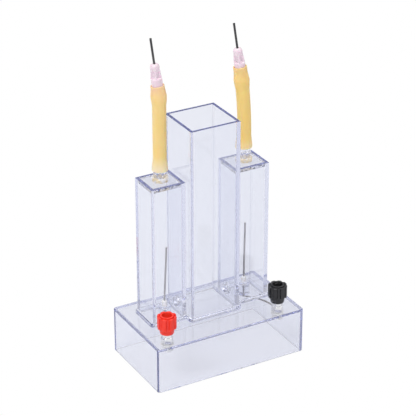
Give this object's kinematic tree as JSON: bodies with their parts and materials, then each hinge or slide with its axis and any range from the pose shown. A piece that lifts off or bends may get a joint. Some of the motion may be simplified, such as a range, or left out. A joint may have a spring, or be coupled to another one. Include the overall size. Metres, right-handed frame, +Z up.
{
  "type": "hofmann voltameter",
  "caption": "Clear plastic water electrolysis apparatus: open reservoir tube between gas tubes with electrodes, rubber tubes and needles, on a hollow base with screw terminals.",
  "frame": {"origin": "centre of the base's footprint, on the surface it stands on", "axes": "+X to the right along the base's long side, +Y to the back, +Z up"},
  "size_m": [0.1116, 0.0656, 0.2302],
  "materials": {
    "clear_plastic": "polished clear styrene",
    "latex": "matte translucent amber latex",
    "pink_plastic": "translucent pale pink moulded plastic",
    "needle_steel": "drawn stainless tube",
    "electrode_wire": "dull drawn wire",
    "seal_rubber": "matte white silicone",
    "lead_wire": "dull tinned wire",
    "nickel_plate": "bright nickel plate",
    "tinned_brass": "tinned, satin",
    "red_plastic": "semi-gloss moulded red plastic",
    "black_plastic": "semi-gloss moulded black plastic"
  },
  "bodies": {
    "stand": {"base_box": "clear_plastic", "reservoir_tube": "clear_plastic", "left_gas_tube": "clear_plastic", "right_gas_tube": "clear_plastic", "left_tube_cap": "clear_plastic", "right_tube_cap": "clear_plastic", "left_electrode": "electrode_wire", "right_electrode": "electrode_wire", "left_electrode_seal": "seal_rubber", "right_electrode_seal": "seal_rubber", "left_lead_wire": "lead_wire", "right_lead_wire": "lead_wire", "red_post_stud": "nickel_plate", "black_post_stud": "nickel_plate", "red_post_washer": "nickel_plate", "black_post_washer": "nickel_plate", "red_post_tag": "tinned_brass", "black_post_tag": "tinned_brass", "red_post_nut": "nickel_plate", "black_post_nut": "nickel_plate"},
    "red_bush": {"red_cap_bush": "nickel_plate"},
    "red_grip": {"red_cap": "red_plastic"},
    "black_bush": {"black_cap_bush": "nickel_plate"},
    "black_grip": {"black_cap": "black_plastic"},
    "left_rubber": {"left_latex_tube": "latex"},
    "left_needle_set": {"left_needle_hub": "pink_plastic", "left_needle": "needle_steel"},
    "right_rubber": {"right_latex_tube": "latex"},
    "right_needle_set": {"right_needle_hub": "pink_plastic", "right_needle": "needle_steel"}
  },
  "joints": [
    {"name": "red_bush_lift", "type": "slide", "parent": "stand", "child": "red_bush", "axis": [0, 0, 1], "range_m": [0, 0.0045]},
    {"name": "red_cap_turn", "type": "hinge", "parent": "red_bush", "child": "red_grip", "pos_m": [-0.0452, -0.0252, 0.045], "axis": [0, 0, 1], "range_deg": [0, 1621]},
    {"name": "black_bush_lift", "type": "slide", "parent": "stand", "child": "black_bush", "axis": [0, 0, 1], "range_m": [0, 0.0045]},
    {"name": "black_cap_turn", "type": "hinge", "parent": "black_bush", "child": "black_grip", "pos_m": [0.039, -0.0252, 0.045], "axis": [0, 0, 1], "range_deg": [0, 1621]},
    {"name": "left_rubber_pull", "type": "slide", "parent": "stand", "child": "left_rubber", "axis": [0, 0, 1], "range_m": [0, 0.02]},
    {"name": "left_needle_pull", "type": "slide", "parent": "left_rubber", "child": "left_needle_set", "axis": [-0.1076, 0.0609, 0.9923], "range_m": [0, 0.02]},
    {"name": "right_rubber_pull", "type": "slide", "parent": "stand", "child": "right_rubber", "axis": [0, 0, 1], "range_m": [0, 0.02]},
    {"name": "right_needle_pull", "type": "slide", "parent": "right_rubber", "child": "right_needle_set", "axis": [-0.1181, 0.0668, 0.9907], "range_m": [0, 0.02]}
  ],
  "couplings": [
    {"joint": "red_cap_turn", "follows": "red_bush_lift", "rad_per_m": 6283.2},
    {"joint": "black_cap_turn", "follows": "black_bush_lift", "rad_per_m": 6283.2}
  ]
}
